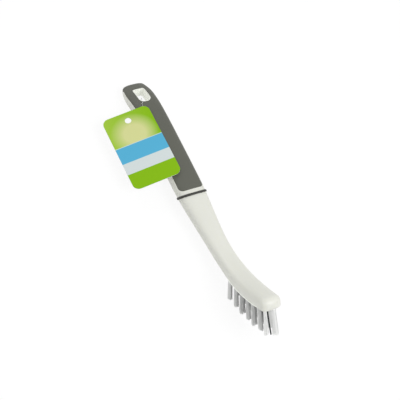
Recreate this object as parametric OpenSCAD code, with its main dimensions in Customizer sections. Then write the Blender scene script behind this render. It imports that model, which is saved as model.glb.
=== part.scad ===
// Grout brush with a soft grip, a hanging hole, two rows of tufts and a swing tag.
// The design frame runs along the handle: x from its end towards the toe, z up.
// The finished brush lies on its handle end and its heel tufts, with z = 0 at the table
// and the origin under the hanging hole.

/* [Handle] */
// Distance along the brush from its end to the edge of the grip
grip_end = 136; // [125:0.5:145]
// Greatest width of the handle
handle_w = 29; // [27:0.2:33]
// Width of the handle where the grip stops
waist_w = 27.8; // [25:0.2:30]
// Width across the end of the handle
end_w = 22.8; // [20:0.2:25]
// Greatest thickness of the handle
handle_t = 18.9; // [17:0.1:21]
// Thickness at the end of the handle
end_t = 9.8; // [9:0.1:12]
// Length over which the end swells to its full width
flare_len = 20; // [14:0.5:30]
// Length over which the end swells to its full thickness
swell_len = 72; // [50:1:90]
// Rounding of the end corners, seen from above
end_corner = 2.8; // [2:0.1:5]
// Rounding of the end edges, seen from the side
end_edge = 2.6; // [2:0.1:4]
// Extra depth of the lower half at the end
end_belly = 2.4; // [0:0.1:3]
// Slope of the handle at its end, in degrees
end_droop = 19; // [8:0.5:22]
// Slope of the handle behind its middle, in degrees
mid_sag = 2.4; // [0:0.1:4]

/* [Neck and head] */
// Length of the neck, from the grip to the narrowest place
neck_len = 78; // [65:1:95]
// Length of the head, from the narrowest place to the toe
head_len = 86; // [78:1:100]
// Width at the narrowest place
neck_w = 18.8; // [17:0.1:22]
// Thickness at the narrowest place
neck_t = 14.7; // [13:0.1:17]
// Greatest width of the head
head_w = 20.2; // [18:0.1:23]
// Width at the toe
toe_w = 19.4; // [17:0.1:21]
// Thickness at the toe
toe_t = 12.7; // [11:0.1:14]
// Angle that the head is raised by, in degrees
head_rise = 37.5; // [25:0.5:42]
// Rounding of the toe
toe_round = 5.2; // [3:0.1:5.5]
// Extra fall of the upper side towards the toe
toe_fall = 1.6; // [0:0.1:1.8]

/* [Grip and ring] */
// Thickness of the grip
grip_t = 1.5; // [1:0.1:2.2]
// Height of the edge of the grip on the flanks, as an angle round the section
flank_angle = 33; // [10:1:45]
// Width of the rounded corners at the edge of the grip, along the handle
grip_corner = 5; // [3:0.5:9]
// Distance from the edge of the grip to the middle of the ring
ring_gap = 5.2; // [4:0.1:10]
// Width of the ring
ring_w = 1.5; // [1.2:0.1:3]
// Depth of the groove that holds the ring
ring_depth = 1; // [0.6:0.1:1.6]
// Height that the ring stands proud
ring_proud = 0.8; // [0.4:0.05:1.2]
// Lean of the ring and the edge of the grip, in degrees
ring_lean = 24; // [0:1:32]

/* [Hanging hole] */
// Distance from the end of the handle to the hole
hole_from_end = 10.3; // [8:0.1:14]
// Length of the hole
hole_len = 19.5; // [16:0.5:24]
// Width of the hole
hole_w = 11.6; // [10:0.2:14]
// Corner radius on the end side of the hole
hole_corner = 1.6; // [1:0.1:4]
// Corner radius on the toe side of the hole
hole_round = 5.3; // [3:0.1:5.7]
// Width of the rim that shows inside the grip
rim_w = 0.5; // [0.4:0.1:1.6]

/* [Tufts] */
// Tufts in each row
tufts = 7; // [5:1:7]
// Distance between tufts along the head
tuft_pitch = 9.5; // [8:0.1:10]
// Distance from the toe to the last tuft
toe_to_tuft = 5.8; // [5.2:0.1:9]
// Distance of the heel tufts from the middle of the head
row_heel = 4.9; // [4:0.1:5.4]
// Distance of the toe tufts from the middle of the head
row_toe = 4.1; // [3.4:0.1:4.8]
// Diameter of the tuft holes
tuft_hole_d = 4.5; // [3.6:0.1:4.6]
// Depth of the tuft holes
tuft_hole_depth = 7; // [5:0.5:8]
// Length of the bristles at the middle of the head
bristle_len = 22; // [16:0.5:26]
// Length that each tuft gains over the one behind it
trim_step = 0.3; // [0:0.05:0.6]
// Thickness of one strand
strand_t = 0.44; // [0.3:0.02:0.46]
// Spread of a tuft at its tips, as a multiple of its spread at the root
splay = 1.15; // [1.05:0.05:1.6]
// Thickness of the metal anchor in each hole
anchor_t = 0.4; // [0.3:0.05:0.6]
// Height of the metal anchor
anchor_h = 2; // [1.5:0.1:2.6]

/* [Swing tag] */
// Length of the tag
tag_len = 83.8; // [70:0.2:100]
// Width of the tag
tag_w = 48.4; // [40:0.2:60]
// Corner radius of the tag
tag_corner = 6.5; // [3:0.5:10]
// Thickness of each of the two plies
ply_t = 0.4; // [0.3:0.05:0.6]
// Diameter of the round hole at the top of the tag
tag_hole_d = 6.4; // [5:0.1:8]
// Distance from the top edge to that hole
tag_hole_in = 9.5; // [7:0.1:14]
// Roll of the tag over the shoulder of the handle, in degrees
tag_roll = 13; // [4:0.5:16]
// Turn of the tag on the handle, in degrees
tag_turn = 0.2; // [-5:0.1:5]
// Gap between the tag and the grip where it rests
tag_gap = 0.3; // [0.2:0.05:0.8]
// Distance along the handle to the place where the tag is tied
tie_at = 40.7; // [37:0.1:46]
// Distance of that place from the middle of the handle
tie_side = 11.8; // [9:0.1:12.5]
// Distance of that place from the top edge of the tag
tie_in = 3.4; // [3:0.1:6]
// Distance of that place from the long edge that lies on the handle
tie_edge = 8.8; // [5:0.1:12]
// Diameter of the nylon tie
tie_d = 0.7; // [0.6:0.05:1.1]

/* [Hidden] */

$fn = 48;

// Places along the brush, measured on its centreline
neck_at = grip_end + neck_len;
brush_len = neck_at + head_len;
ring_at = grip_end + ring_gap;
ring_start = ring_at - ring_w / 2;
ring_stop = ring_at + ring_w / 2;
waist_start = 40;
waist_stop = grip_end - 38;
taper_start = grip_end - 8;
taper_stop = neck_at - 6;
thin_start = grip_end - 43;
thin_stop = neck_at + 19;
bend_start = neck_at - 38;
bend_stop = brush_len - 11;
flat_start = neck_at + 4;
flat_stop = neck_at + 66;
droop_stop = 50;
sag_start = 68;
belly_stop = 52;
fall_start = brush_len - 11;

// Shape of the section: a rounded rectangle, squarer below at both ends of the brush
section_power = 2.8;
square_power = 4.6;

function ease(s, a, b) =
    let (t = min(max((s - a) / (b - a), 0), 1)) t * t * (3 - 2 * t);

function rise(s, run) = sin(90 * min(s / run, 1));

function width_at(s) =
    end_w + (handle_w - end_w) * rise(s, flare_len)
    - (handle_w - waist_w) * ease(s, waist_start, waist_stop)
    - (waist_w - neck_w) * ease(s, taper_start, taper_stop)
    + (head_w - neck_w) * ease(s, neck_at, neck_at + 40)
    - (head_w - toe_w) * ease(s, brush_len - 36, brush_len);

function thick_at(s) =
    end_t + (handle_t - end_t) * rise(s, swell_len)
    - (handle_t - neck_t) * ease(s, thin_start, thin_stop)
    - (neck_t - toe_t) * pow(max(s - flat_start - 1, 0) / (brush_len - flat_start - 1), 1.2);

function slope_at(s) =
    end_droop * (1 - ease(s, 0, droop_stop))
    - mid_sag * (ease(s, sag_start, grip_end - 18) - ease(s, grip_end + 2, bend_start - 8))
    + head_rise * ease(s, bend_start, bend_stop);

// The centreline, stepped from the end of the handle
path_step = 2;
path_count = ceil(brush_len / path_step) + 2;
PATH = [
    for (i = 0, x = 0, z = 0; i <= path_count;
        x = x + path_step * cos(slope_at((i + 0.5) * path_step)),
        z = z + path_step * sin(slope_at((i + 0.5) * path_step)),
        i = i + 1) [x, z]
];

function path_at(s) =
    let (i = max(floor(s / path_step), 0), f = s / path_step - i)
    PATH[i] * (1 - f) + PATH[i + 1] * f;

// The point h above the centreline and y to its side, at distance s along it
function place(s, y, h) =
    let (p = path_at(s), a = slope_at(s)) [p[0] - h * sin(a), y, p[1] + h * cos(a)];

// One at an end that is rounded over a run, falling to zero where the rounding stops
function rounding(s, run) = s < run ? 1 - sqrt(1 - pow(1 - s / run, 2)) : 0;

// Half sizes of the section, inset below the skin by d
function half_w(s, d) =
    width_at(s) / 2 - d - (end_corner - d) * rounding(s, end_corner)
    - toe_round * rounding(brush_len - s, toe_round);
function half_t(s, d) =
    thick_at(s) / 2 - d - (end_edge - d) * rounding(s, end_corner)
    - toe_round * 0.8 * rounding(brush_len - s, toe_round);

// The lower half is deeper at the end of the handle, and the upper half falls towards the toe
function belly_at(s) = end_belly * (1 - ease(s, 0, belly_stop));
function fall_at(s) = toe_fall * rounding(brush_len - s, brush_len - fall_start);

// An inset surface starts its own depth inside the end of the handle
function along(s, d) = s < end_corner ? d + s * (end_corner - d) / end_corner : s;

// A point of the unit section at an angle from the right-hand side
function rim(phi, power) =
    [cos(phi), sin(phi)] / pow(pow(abs(cos(phi)), power) + pow(abs(sin(phi)), power), 1 / power);

function lower_power(s) =
    section_power
    + (square_power - section_power) * (ease(s, flat_start, flat_stop) + 1 - ease(s, 10, belly_stop));

// The collar between grip and ring leans, so its sections are sheared
function lean_at(s) =
    tan(ring_lean) * ease(s, grip_end - 30, grip_end - 8) * (1 - ease(s, ring_stop + 3, ring_stop + 28));

// The grip meets the shell along this angle: it dips round the end and is rounded at the ring
end_dip = 12;
function seam_at(s) =
    (0.62 * flank_angle + end_dip) * ease(s, 0, 8) - end_dip + 0.38 * flank_angle * ease(s, 8, droop_stop)
    + (58 - flank_angle) * max(1 - sqrt(max(1 - pow((s - grip_end + grip_corner) / grip_corner, 2), 0)), 0)
        * (s > grip_end - grip_corner && s <= grip_end ? 1 : 0)
    - flank_angle * ease(s, ring_start, ring_stop + 40);

upper_count = 17;
lower_count = 23;
ring_count = upper_count + lower_count;
seam_step = 2.5;

// A skin point: s along the brush, depth d, axial shift, and its angle
function skin_point(s, d, shift, phi) =
    let (
        below = sin(phi) < 0,
        turn = rim(phi, below ? lower_power(s) : section_power),
        h = (half_t(s, d) + (below ? belly_at(s) : -fall_at(s))) * turn[1]
    )
    place(along(s, d) + shift + lean_at(s) * h, half_w(s, d) * turn[0], h);

function upper_phi(s, k) =
    let (a = seam_at(s) + seam_step) a + (180 - 2 * a) * k / (upper_count - 1);
function lower_phi(s, k) =
    let (a = seam_at(s)) 180 - a + (180 + 2 * a) * k / (lower_count - 1);

// A station is [s, depth under the grip, depth all round, shift of the lower half]
function upper_row(st, cut) =
    [for (k = [0:upper_count - 1])
        skin_point(st[0], st[2] + (cut ? st[1] : 0), 0, upper_phi(st[0], k))];
function lower_row(st) =
    [for (k = [0:lower_count - 1]) skin_point(st[0], st[2], st[3], lower_phi(st[0], k))];

// Stations from a to b, at most gap apart, both ends left out
function between(a, b, gap) =
    let (n = ceil((b - a) / gap)) [for (i = [1:n - 1]) a + (b - a) * i / n];

step_shift = 0.25;
end_stations = [for (f = [0:18:72]) [end_corner * (1 - cos(f)), grip_t, 0, 0]];
grip_stations = concat(
    end_stations,
    [[end_corner, grip_t, 0, 0]],
    [for (s = between(end_corner, 30, 3.2)) [s, grip_t, 0, 0]],
    [for (s = between(30 - 8.5, grip_end - grip_corner, 8.5)) if (s > 27) [s, grip_t, 0, 0]],
    [for (f = [0:22.5:67.5]) [grip_end - grip_corner * (1 - sin(f)), grip_t, 0, 0]],
    [[grip_end, grip_t, 0, -step_shift]]
);
neck_stations = concat(
    [[grip_end, 0, 0, step_shift], [(grip_end + ring_start) / 2, 0, 0, 0]],
    [[ring_start, 0, 0, 0], [ring_start, 0, ring_depth, 0]],
    [[ring_stop, 0, ring_depth, 0], [ring_stop, 0, 0, 0]],
    [for (s = between(ring_stop, brush_len - toe_round, 6.6)) [s, 0, 0, 0]],
    [for (f = [90:-18:0]) [brush_len - toe_round * (1 - cos(f)), 0, 0, 0]]
);

// Two triangles of a patch, with the diagonal mirrored on the left side
function patch(a, b, c, d, left) =
    left ? [[a, d, b], [d, c, b]] : [[a, d, c], [a, c, b]];
function left_side(j) =
    j < upper_count ? j >= (upper_count - 1) / 2 : j < upper_count + (lower_count - 1) / 2;

// The skin of the whole brush, with the recess for the grip and the groove for the ring
module shell_form() {
    stations = concat(grip_stations, neck_stations);
    n = len(stations);
    last = (n - 1) * ring_count;
    points = [for (st = stations) each concat(upper_row(st, true), lower_row(st))];
    sides = [
        for (i = [0:n - 2], j = [0:ring_count - 1])
            let (a = i * ring_count, k = (j + 1) % ring_count)
            each patch(a + j, a + k, a + ring_count + k, a + ring_count + j, left_side(j))
    ];
    caps = [
        [for (j = [0:upper_count - 1]) j],
        [for (j = [upper_count:ring_count - 1]) j],
        [0, upper_count - 1, upper_count, ring_count - 1],
        [for (j = [ring_count - 1:-1:0]) last + j]
    ];
    polyhedron(points, concat(sides, caps));
}

// The plain outer skin of the end of the handle, used to trim the rim of the hole
module end_form() {
    stations = [for (st = grip_stations) if (st[0] < hole_from_end + hole_len + 20) st];
    n = len(stations);
    last = (n - 1) * ring_count;
    points = [for (st = stations) each concat(upper_row(st, false), lower_row(st))];
    sides = [
        for (i = [0:n - 2], j = [0:ring_count - 1])
            let (a = i * ring_count, k = (j + 1) % ring_count)
            each patch(a + j, a + k, a + ring_count + k, a + ring_count + j, left_side(j))
    ];
    polyhedron(points, concat(sides, [
        [for (j = [0:ring_count - 1]) j],
        [for (j = [ring_count - 1:-1:0]) last + j]
    ]));
}

// The soft cover: its outer skin runs from seam to seam, its inner skin lies in the recess
module grip_form() {
    n = len(grip_stations);
    outer_count = upper_count + 2;
    outer = [for (st = grip_stations) each concat(
        [skin_point(st[0], 0, st[3], 360 + seam_at(st[0]))],
        upper_row(st, false),
        [skin_point(st[0], 0, st[3], 180 - seam_at(st[0]))]
    )];
    inner = [for (st = grip_stations) each upper_row(st, true)];
    base = len(outer);
    outside = [
        for (i = [0:n - 2], j = [0:outer_count - 2])
            let (a = i * outer_count + j)
            each patch(a, a + 1, a + outer_count + 1, a + outer_count, j > (outer_count - 2) / 2)
    ];
    inside = [
        for (i = [0:n - 2], j = [0:upper_count - 2])
            let (a = base + i * upper_count + j)
            for (f = patch(a, a + 1, a + upper_count + 1, a + upper_count, left_side(j)))
                [f[2], f[1], f[0]]
    ];
    right_seam = [
        for (i = [0:n - 2])
            let (a = i * outer_count, b = base + i * upper_count)
            for (f = patch(a, b, b + upper_count, a + outer_count, false)) [f[2], f[1], f[0]]
    ];
    left_seam = [
        for (i = [0:n - 2])
            let (a = i * outer_count + outer_count - 1, b = base + i * upper_count + upper_count - 1)
            for (f = patch(b, a, a + outer_count, b + upper_count, true)) [f[2], f[1], f[0]]
    ];
    o = (n - 1) * outer_count;
    p = base + (n - 1) * upper_count;
    edge = concat(
        [[p, o + 1, o]],
        [for (j = [0:upper_count - 2])
            each [for (f = patch(p + j, p + j + 1, o + j + 2, o + j + 1, left_side(j))) [f[2], f[1], f[0]]]],
        [[p + upper_count - 1, o + outer_count - 1, o + outer_count - 2]]
    );
    end_wall = [
        [for (j = [0:outer_count - 1]) j],
        [for (j = [upper_count - 1:-1:0]) base + j],
        [outer_count - 1, base + upper_count - 1, base, 0]
    ];
    polyhedron(concat(outer, inner), concat(outside, inside, right_seam, left_seam, edge, end_wall));
}

// The hanging hole as an outline, grown by a rim
module hole_outline(grow) {
    x_end = hole_from_end + hole_corner;
    x_toe = hole_from_end + hole_len - hole_round;
    hull() {
        for (side = [-1, 1]) {
            translate([x_end, side * (hole_w / 2 - hole_corner)]) circle(hole_corner + grow, $fn = 24);
            translate([x_toe, side * (hole_w / 2 - hole_round)]) circle(hole_round + grow, $fn = 48);
        }
    }
}

module hole_column(grow) {
    translate([0, 0, -handle_t]) linear_extrude(2 * handle_t + 6) hole_outline(grow);
}

// Lays the brush down: the end of the handle and the heel tufts touch z = 0
heel_s = brush_len - toe_to_tuft - (tufts - 1) * tuft_pitch;
tip_reach = tuft_hole_d / 2 * splay * 0.86;
heel_tip = let (h = -(thick_at(heel_s) / 2 + tuft_len(1)), a = slope_at(heel_s))
    place(heel_s, 0, h) - tip_reach * [cos(a), 0, sin(a)];
end_bottom = place(end_corner, 0, -half_t(end_corner, 0) - belly_at(end_corner));
rest_tilt = atan((end_bottom[2] - heel_tip[2]) / (heel_tip[0] - end_bottom[0]));
rest_lift = end_bottom[0] * sin(-rest_tilt) - end_bottom[2] * cos(rest_tilt);
hole_middle = hole_from_end + hole_len / 2;

hole_foot = hole_middle / cos(rest_tilt) + rest_lift * tan(rest_tilt);

module laid_down() {
    translate([-hole_foot, 0, rest_lift]) rotate([0, -rest_tilt, 0]) children();
}

// Tufts are numbered from the heel; a tuft stands square to the underside of the head
function tuft_s(k) = heel_s + (k - 1) * tuft_pitch;
function tuft_len(k) = bristle_len + trim_step * (k - (tufts + 1) / 2);
function tuft_y(k) = row_heel + (row_toe - row_heel) * (k - 1) / (tufts - 1);

module at_tuft(k, side) {
    s = tuft_s(k);
    mouth = place(s, side * tuft_y(k), -thick_at(s) / 2);
    translate(mouth) rotate([0, 180 - slope_at(s), 0]) children();
}

module tuft_hole(k, side) {
    at_tuft(k, side) translate([0, 0, -tuft_hole_depth]) cylinder(h = tuft_hole_depth + 3, d = tuft_hole_d, $fn = 24);
}

// Strand k of a tuft: its place at the root and the trim of its tip
strands = 26;
strand_sides = 4;
root_spread = tuft_hole_d / 2 - strand_t * 0.6;
function root_place(k) =
    root_spread * sqrt((k + 0.4) / strands) * [cos(k * 137.5), sin(k * 137.5)];
function tip_trim(k, seed) = 0.7 * sin(k * 77 + seed * 41) * cos(k * 31 + seed * 17);

module tuft_strands(length, seed) {
    sink = 0.8;
    points = [
        for (k = [0:strands - 1], end = [0, 1], j = [0:strand_sides - 1])
            let (
                c = root_place(k) * (end == 0 ? 1 : splay),
                z = end == 0 ? -sink : length + tip_trim(k, seed),
                a = k * 50 + 360 * j / strand_sides
            )
            [c[0] + strand_t / 2 * cos(a), c[1] + strand_t / 2 * sin(a), z]
    ];
    faces = [
        for (k = [0:strands - 1])
            let (b = k * 2 * strand_sides, n = strand_sides)
            each concat(
                [for (j = [1:n - 2]) [b, b + j, b + j + 1]],
                [for (j = [1:n - 2]) [b + n, b + n + j + 1, b + n + j]],
                [for (j = [0:n - 1]) each [
                    [b + j, b + n + j, b + n + (j + 1) % n],
                    [b + j, b + n + (j + 1) % n, b + (j + 1) % n]
                ]]
            )
    ];
    polyhedron(points, faces);
}

// The folded bristles fill the hole round their anchor and leave it as single strands
plug_gap = 0.03;
module tuft(k, side) {
    color("gainsboro") laid_down() at_tuft(k, side) {
        difference() {
            translate([0, 0, -tuft_hole_depth + plug_gap])
                cylinder(h = tuft_hole_depth - plug_gap, d = tuft_hole_d - 2 * plug_gap, $fn = 24);
            anchor_plate(anchor_t + 0.06, anchor_h + 0.06);
        }
        tuft_strands(tuft_len(k), k + 10 * side);
    }
}

module anchor_plate(thickness, height) {
    translate([-thickness / 2, -tuft_hole_d, -tuft_hole_depth - 0.5])
        cube([thickness, 2 * tuft_hole_d, height + 0.5]);
}

module anchor(k, side) {
    color("silver") laid_down() at_tuft(k, side) intersection() {
        anchor_plate(anchor_t, anchor_h);
        translate([0, 0, -tuft_hole_depth + plug_gap])
            cylinder(h = anchor_h, d = tuft_hole_d - 2 * plug_gap, $fn = 24);
    }
}

module handle_body() {
    color([0.93, 0.93, 0.9]) laid_down() difference() {
        union() {
            shell_form();
            intersection() {
                hole_column(rim_w);
                end_form();
            }
        }
        hole_column(0);
        for (k = [1:tufts], side = [-1, 1]) tuft_hole(k, side);
    }
}

module grip() {
    color([0.4, 0.41, 0.37]) laid_down() difference() {
        grip_form();
        hole_column(rim_w);
    }
}

// The ring fills its groove and stands proud of the skin with a rounded crown
module ring_band() {
    loops = [
        [ring_start, ring_depth], [ring_start, -ring_proud * 0.6],
        [ring_at, -ring_proud],
        [ring_stop, -ring_proud * 0.6], [ring_stop, ring_depth]
    ];
    n = len(loops);
    points = [
        for (l = loops) each concat(upper_row([l[0], 0, l[1], 0], false), lower_row([l[0], 0, l[1], 0]))
    ];
    faces = [
        for (i = [0:n - 1], j = [0:ring_count - 1])
            let (a = i * ring_count, b = ((i + 1) % n) * ring_count, k = (j + 1) % ring_count)
            each patch(a + j, a + k, b + k, b + j, left_side(j))
    ];
    color([0.29, 0.29, 0.27]) laid_down() polyhedron(points, faces);
}

// Points over the upper skin and under the lower one
function skin_h(s, y, power) = pow(1 - pow(min(abs(y) / half_w(s, 0), 0.999), power), 1 / power);
function over_skin(s, y, lift) = place(s, y, half_t(s, 0) * skin_h(s, y, section_power) + lift);
function under_skin(s, y, lift) =
    place(s, y, -(half_t(s, 0) + belly_at(s)) * skin_h(s, y, lower_power(s)) - lift);

// A point outside the skin, at an angle round the section from the right-hand side
function beside(s, phi, lift) =
    let (below = sin(phi) < 0, turn = rim(phi, below ? lower_power(s) : section_power))
    place(s, (half_w(s, 0) + lift) * turn[0], (half_t(s, 0) + (below ? belly_at(s) : 0) + lift) * turn[1]);

// The tag is a plane that rests on the highest place of the grip, rolled over its shoulder
tag_rest_s = 76;
tag_rest_y = -6.5;
tag_rest = over_skin(tag_rest_s, tag_rest_y, tag_gap);
tie_x = tie_at - tag_rest[0];
tie_y = -(tie_side + tag_rest_y) / cos(tag_roll);
tie_point = tag_rest + [tie_x, tie_y * cos(tag_roll), tie_y * sin(tag_roll)];

module at_tag() {
    translate(tie_point) rotate([tag_roll, 0, 0]) rotate([0, 0, -tag_turn]) children();
}

module tag_outline() {
    translate([-tie_in, tie_edge - tag_w]) hull() {
        for (x = [tag_corner, tag_len - tag_corner], y = [tag_corner, tag_w - tag_corner])
            translate([x, y]) circle(tag_corner, $fn = 32);
    }
}

button_d = 4;
button_t = ply_t / 2;
stem_d = tie_d + 0.3;
button_gap = 0.05;

module ply(z) {
    difference() {
        translate([0, 0, z]) linear_extrude(ply_t) tag_outline();
        translate([tag_hole_in - tie_in, tie_edge - tag_w / 2, -1]) cylinder(h = 3, d = tag_hole_d);
    }
}

module tag_front() {
    color([0.55, 0.75, 0.15]) laid_down() at_tag() ply(ply_t);
}

// The back ply has a hole for the stem of the tie and a pocket for its button
module tag_back() {
    color([0.9, 0.9, 0.86]) laid_down() at_tag() difference() {
        ply(0);
        translate([0, 0, -1]) cylinder(h = 3, d = stem_d + 0.4);
        translate([0, 0, ply_t - button_t - button_gap]) cylinder(h = ply_t, d = button_d + 0.4);
    }
}

// The tie: a button between the plies, a stem through the back ply to a bead under it,
// and a loop from the bead through the hanging hole and back round the left flank
bead_d = 2.6;
bead_h = 1;
bead_gap = 0.2;
bead_drop = bead_gap + bead_h / 2;
end_spread = tie_d + 0.3;
tie_lift = tie_d / 2 + 0.2;
hole_toe = hole_from_end + hole_len;
TIE_POINTS = [
    tie_point + [-0.4, end_spread / 2, -bead_drop],
    over_skin(37.8, -9.6, tie_lift + 0.3),
    over_skin(34.4, -6.4, tie_lift + 0.2),
    over_skin(hole_toe + 0.9, -4.4, tie_lift + 0.1),
    over_skin(hole_toe - 2.1, -3.8, 0.5),
    place(hole_toe - 2.9, -3.5, 0),
    under_skin(hole_toe - 2.2, -3.9, 0.5),
    beside(hole_toe + 0.4, 244, tie_lift),
    beside(hole_toe + 1.4, 226, tie_lift),
    beside(hole_toe + 2.4, 208, tie_lift),
    beside(hole_toe + 3.6, 186, tie_lift),
    beside(hole_toe + 5.4, 160, tie_lift),
    over_skin(37.6, -13.6, tie_lift + 0.3),
    tie_point + [-0.4, -end_spread / 2, -bead_drop]
];
tie_steps = 4;

// A smooth curve through the points, each span drawn in a few steps
function spline(p, a, b, c, t) =
    0.5 * (2 * a + (b - p) * t + (2 * p - 5 * a + 4 * b - c) * t * t + (3 * a - p - 3 * b + c) * t * t * t);
function unit(v) = v / norm(v);
TIE_LINE = let (m = len(TIE_POINTS) - 1) concat(
    [for (i = [0:m - 1], k = [0:tie_steps - 1])
        spline(TIE_POINTS[max(i - 1, 0)], TIE_POINTS[i], TIE_POINTS[i + 1],
            TIE_POINTS[min(i + 2, m)], k / tie_steps)],
    [TIE_POINTS[m]]
);

module tie_tube(line, d, sides) {
    n = len(line);
    tangents = [for (i = [0:n - 1]) unit(line[min(i + 1, n - 1)] - line[max(i - 1, 0)])];
    start = unit(cross(tangents[0], [0, 1, 0.2]));
    normals = [
        for (i = 0, v = start; i < n;
            v = i + 1 < n ? unit(v - tangents[i + 1] * (v * tangents[i + 1])) : v, i = i + 1) v
    ];
    points = [
        for (i = [0:n - 1], j = [0:sides - 1])
            let (u = normals[i], w = cross(tangents[i], u), a = 360 * j / sides)
            line[i] + d / 2 * (u * cos(a) + w * sin(a))
    ];
    faces = concat(
        [[for (j = [0:sides - 1]) j]],
        [[for (j = [sides - 1:-1:0]) (n - 1) * sides + j]],
        [for (i = [0:n - 2], j = [0:sides - 1])
            let (a = i * sides, k = (j + 1) % sides)
            each patch(a + j, a + k, a + sides + k, a + sides + j, false)]
    );
    polyhedron(points, faces);
}

module tag_tie() {
    color([0.9, 0.93, 0.95, 0.6]) laid_down() {
        tie_tube(TIE_LINE, tie_d, 8);
        at_tag() {
            translate([0, 0, ply_t - button_t]) cylinder(h = button_t - button_gap, d = button_d);
            translate([0, 0, -bead_gap - bead_h]) cylinder(h = bead_h, d = bead_d);
            translate([0, 0, -bead_gap - bead_h / 2])
                cylinder(h = bead_gap + bead_h / 2 + ply_t - button_t / 2, d = stem_d);
        }
    }
}

handle_body();
grip();
ring_band();
tag_front();
tag_back();
tag_tie();
for (k = [1:tufts]) {
    tuft(k, -1);
    tuft(k, 1);
    anchor(k, -1);
    anchor(k, 1);
}
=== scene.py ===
"""Looks of the grout brush: detailed skins, bristles, printed tag and light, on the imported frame."""

import math
import random

import bmesh
import bpy
import numpy as np
from mathutils import Matrix, Vector, kdtree


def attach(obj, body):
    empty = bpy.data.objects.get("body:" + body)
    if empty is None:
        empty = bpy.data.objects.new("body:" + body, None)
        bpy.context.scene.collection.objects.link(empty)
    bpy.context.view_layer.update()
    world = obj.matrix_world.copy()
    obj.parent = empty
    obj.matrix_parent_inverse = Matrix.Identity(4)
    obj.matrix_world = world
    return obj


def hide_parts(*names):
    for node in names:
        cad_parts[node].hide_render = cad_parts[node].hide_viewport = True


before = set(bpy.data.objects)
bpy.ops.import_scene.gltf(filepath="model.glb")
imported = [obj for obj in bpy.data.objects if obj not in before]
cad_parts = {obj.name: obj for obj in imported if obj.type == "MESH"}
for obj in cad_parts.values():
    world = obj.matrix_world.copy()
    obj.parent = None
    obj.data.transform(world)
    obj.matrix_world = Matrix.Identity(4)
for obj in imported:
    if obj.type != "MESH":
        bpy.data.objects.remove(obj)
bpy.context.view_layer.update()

# Sizes of the brush in millimetres and degrees, as in the part's source. Only GRIP_CORNER, RING_LEAN, TIE_IN
# and the dome of the toe (TOE_BULGE, TOE_POWER) differ from it, because they are fitted to the photograph
GRIP_END, NECK_LEN, HEAD_LEN = 136.0, 78.0, 86.0
HANDLE_W, WAIST_W, END_W, NECK_W, HEAD_W, TOE_W = 29.0, 27.8, 22.8, 18.8, 20.2, 19.4
HANDLE_T, END_T, NECK_T, TOE_T = 18.9, 9.8, 14.7, 12.7
FLARE_LEN, SWELL_LEN = 20.0, 72.0
END_CORNER, END_EDGE, END_BELLY, END_DIP = 2.8, 2.6, 2.4, 12.0
TOE_ROUND, TOE_FALL, TOE_BULGE, TOE_POWER = 5.2, 1.6, 0.7, 2.3
END_DROOP, MID_SAG, HEAD_RISE = 19.0, 2.4, 37.5
GRIP_T, FLANK_ANGLE, GRIP_CORNER = 1.5, 33.0, 4.2
RING_GAP, RING_W, RING_DEPTH, RING_LEAN = 5.2, 1.5, 1.0, 22.5
HOLE_FROM_END, HOLE_LEN, HOLE_W, HOLE_CORNER, HOLE_ROUND, RIM_W = 10.3, 19.5, 11.6, 1.6, 5.3, 0.5
TUFTS, TUFT_PITCH, TOE_TO_TUFT, ROW_HEEL, ROW_TOE = 7, 9.5, 5.8, 4.9, 4.1
TUFT_HOLE_D, BRISTLE_LEN, TRIM_STEP, SPLAY = 4.5, 22.0, 0.3, 1.15
TAG_LEN, TAG_W, TAG_CORNER, PLY_T, TAG_HOLE_D, TAG_HOLE_IN = 83.8, 48.4, 6.5, 0.4, 6.4, 9.5
TAG_ROLL, TAG_TURN, TAG_GAP, TAG_REST_S, TAG_REST_Y = 13.0, 0.2, 0.3, 76.0, -6.5
TIE_AT, TIE_SIDE, TIE_IN, TIE_EDGE, TIE_D = 40.7, 11.8, 3.9, 8.8, 0.7

NECK_AT = GRIP_END + NECK_LEN
BRUSH_LEN = NECK_AT + HEAD_LEN
RING_AT = GRIP_END + RING_GAP
RING_START, RING_STOP = RING_AT - RING_W / 2, RING_AT + RING_W / 2

# Stations where the width, the thickness, the slope and the section start and stop to change
WAIST_START, WAIST_STOP = 40, GRIP_END - 38
TAPER_START, TAPER_STOP = GRIP_END - 8, NECK_AT - 6
WIDEST, NARROWING = NECK_AT + 40, BRUSH_LEN - 36
THIN_START, THIN_STOP = GRIP_END - 43, NECK_AT + 19
FLAT_START, FLAT_STOP = NECK_AT + 4, NECK_AT + 66
DROOP_STOP, SAG_START, BELLY_STOP, FALL_START = 50.0, 68.0, 52.0, BRUSH_LEN - 11
SAG_FULL, SAG_FADE, SAG_STOP = GRIP_END - 18, GRIP_END + 2, NECK_AT - 46
BEND_START, BEND_STOP = NECK_AT - 38, BRUSH_LEN - 11
LEAN_START, LEAN_FULL, LEAN_FADE, LEAN_STOP = GRIP_END - 30, GRIP_END - 8, RING_STOP + 3, RING_STOP + 28
SQUARE_END = 10

# The section is a rounded rectangle, squarer below at both ends of the brush
SECTION_POWER, SQUARE_POWER, THIN_POWER = 2.8, 4.6, 1.2

# The edge of the grip rises by these shares of its angle, first to SEAM_TURN and then to DROOP_STOP
SEAM_NEAR, SEAM_FAR, SEAM_TURN, SEAM_TOP, SEAM_FADE = 0.62, 0.38, 8, 58, 40

# The camera of the photograph, in the brush's own straight frame, in millimetres
CAMERA_AT = (596.3, -402.6, 854.3)
CAMERA_AIM = (149.09, 4.18, 8.09)
CAMERA_UP = (-0.7983, 0.2563, 0.545)
CAMERA_LENS = 99.0


def ease(s, a, b):
    t = np.clip((np.asarray(s, float) - a) / (b - a), 0, 1)
    return t * t * (3 - 2 * t)


def rise(s, run):
    return np.sin(np.radians(90 * np.minimum(np.asarray(s, float) / run, 1)))


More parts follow.
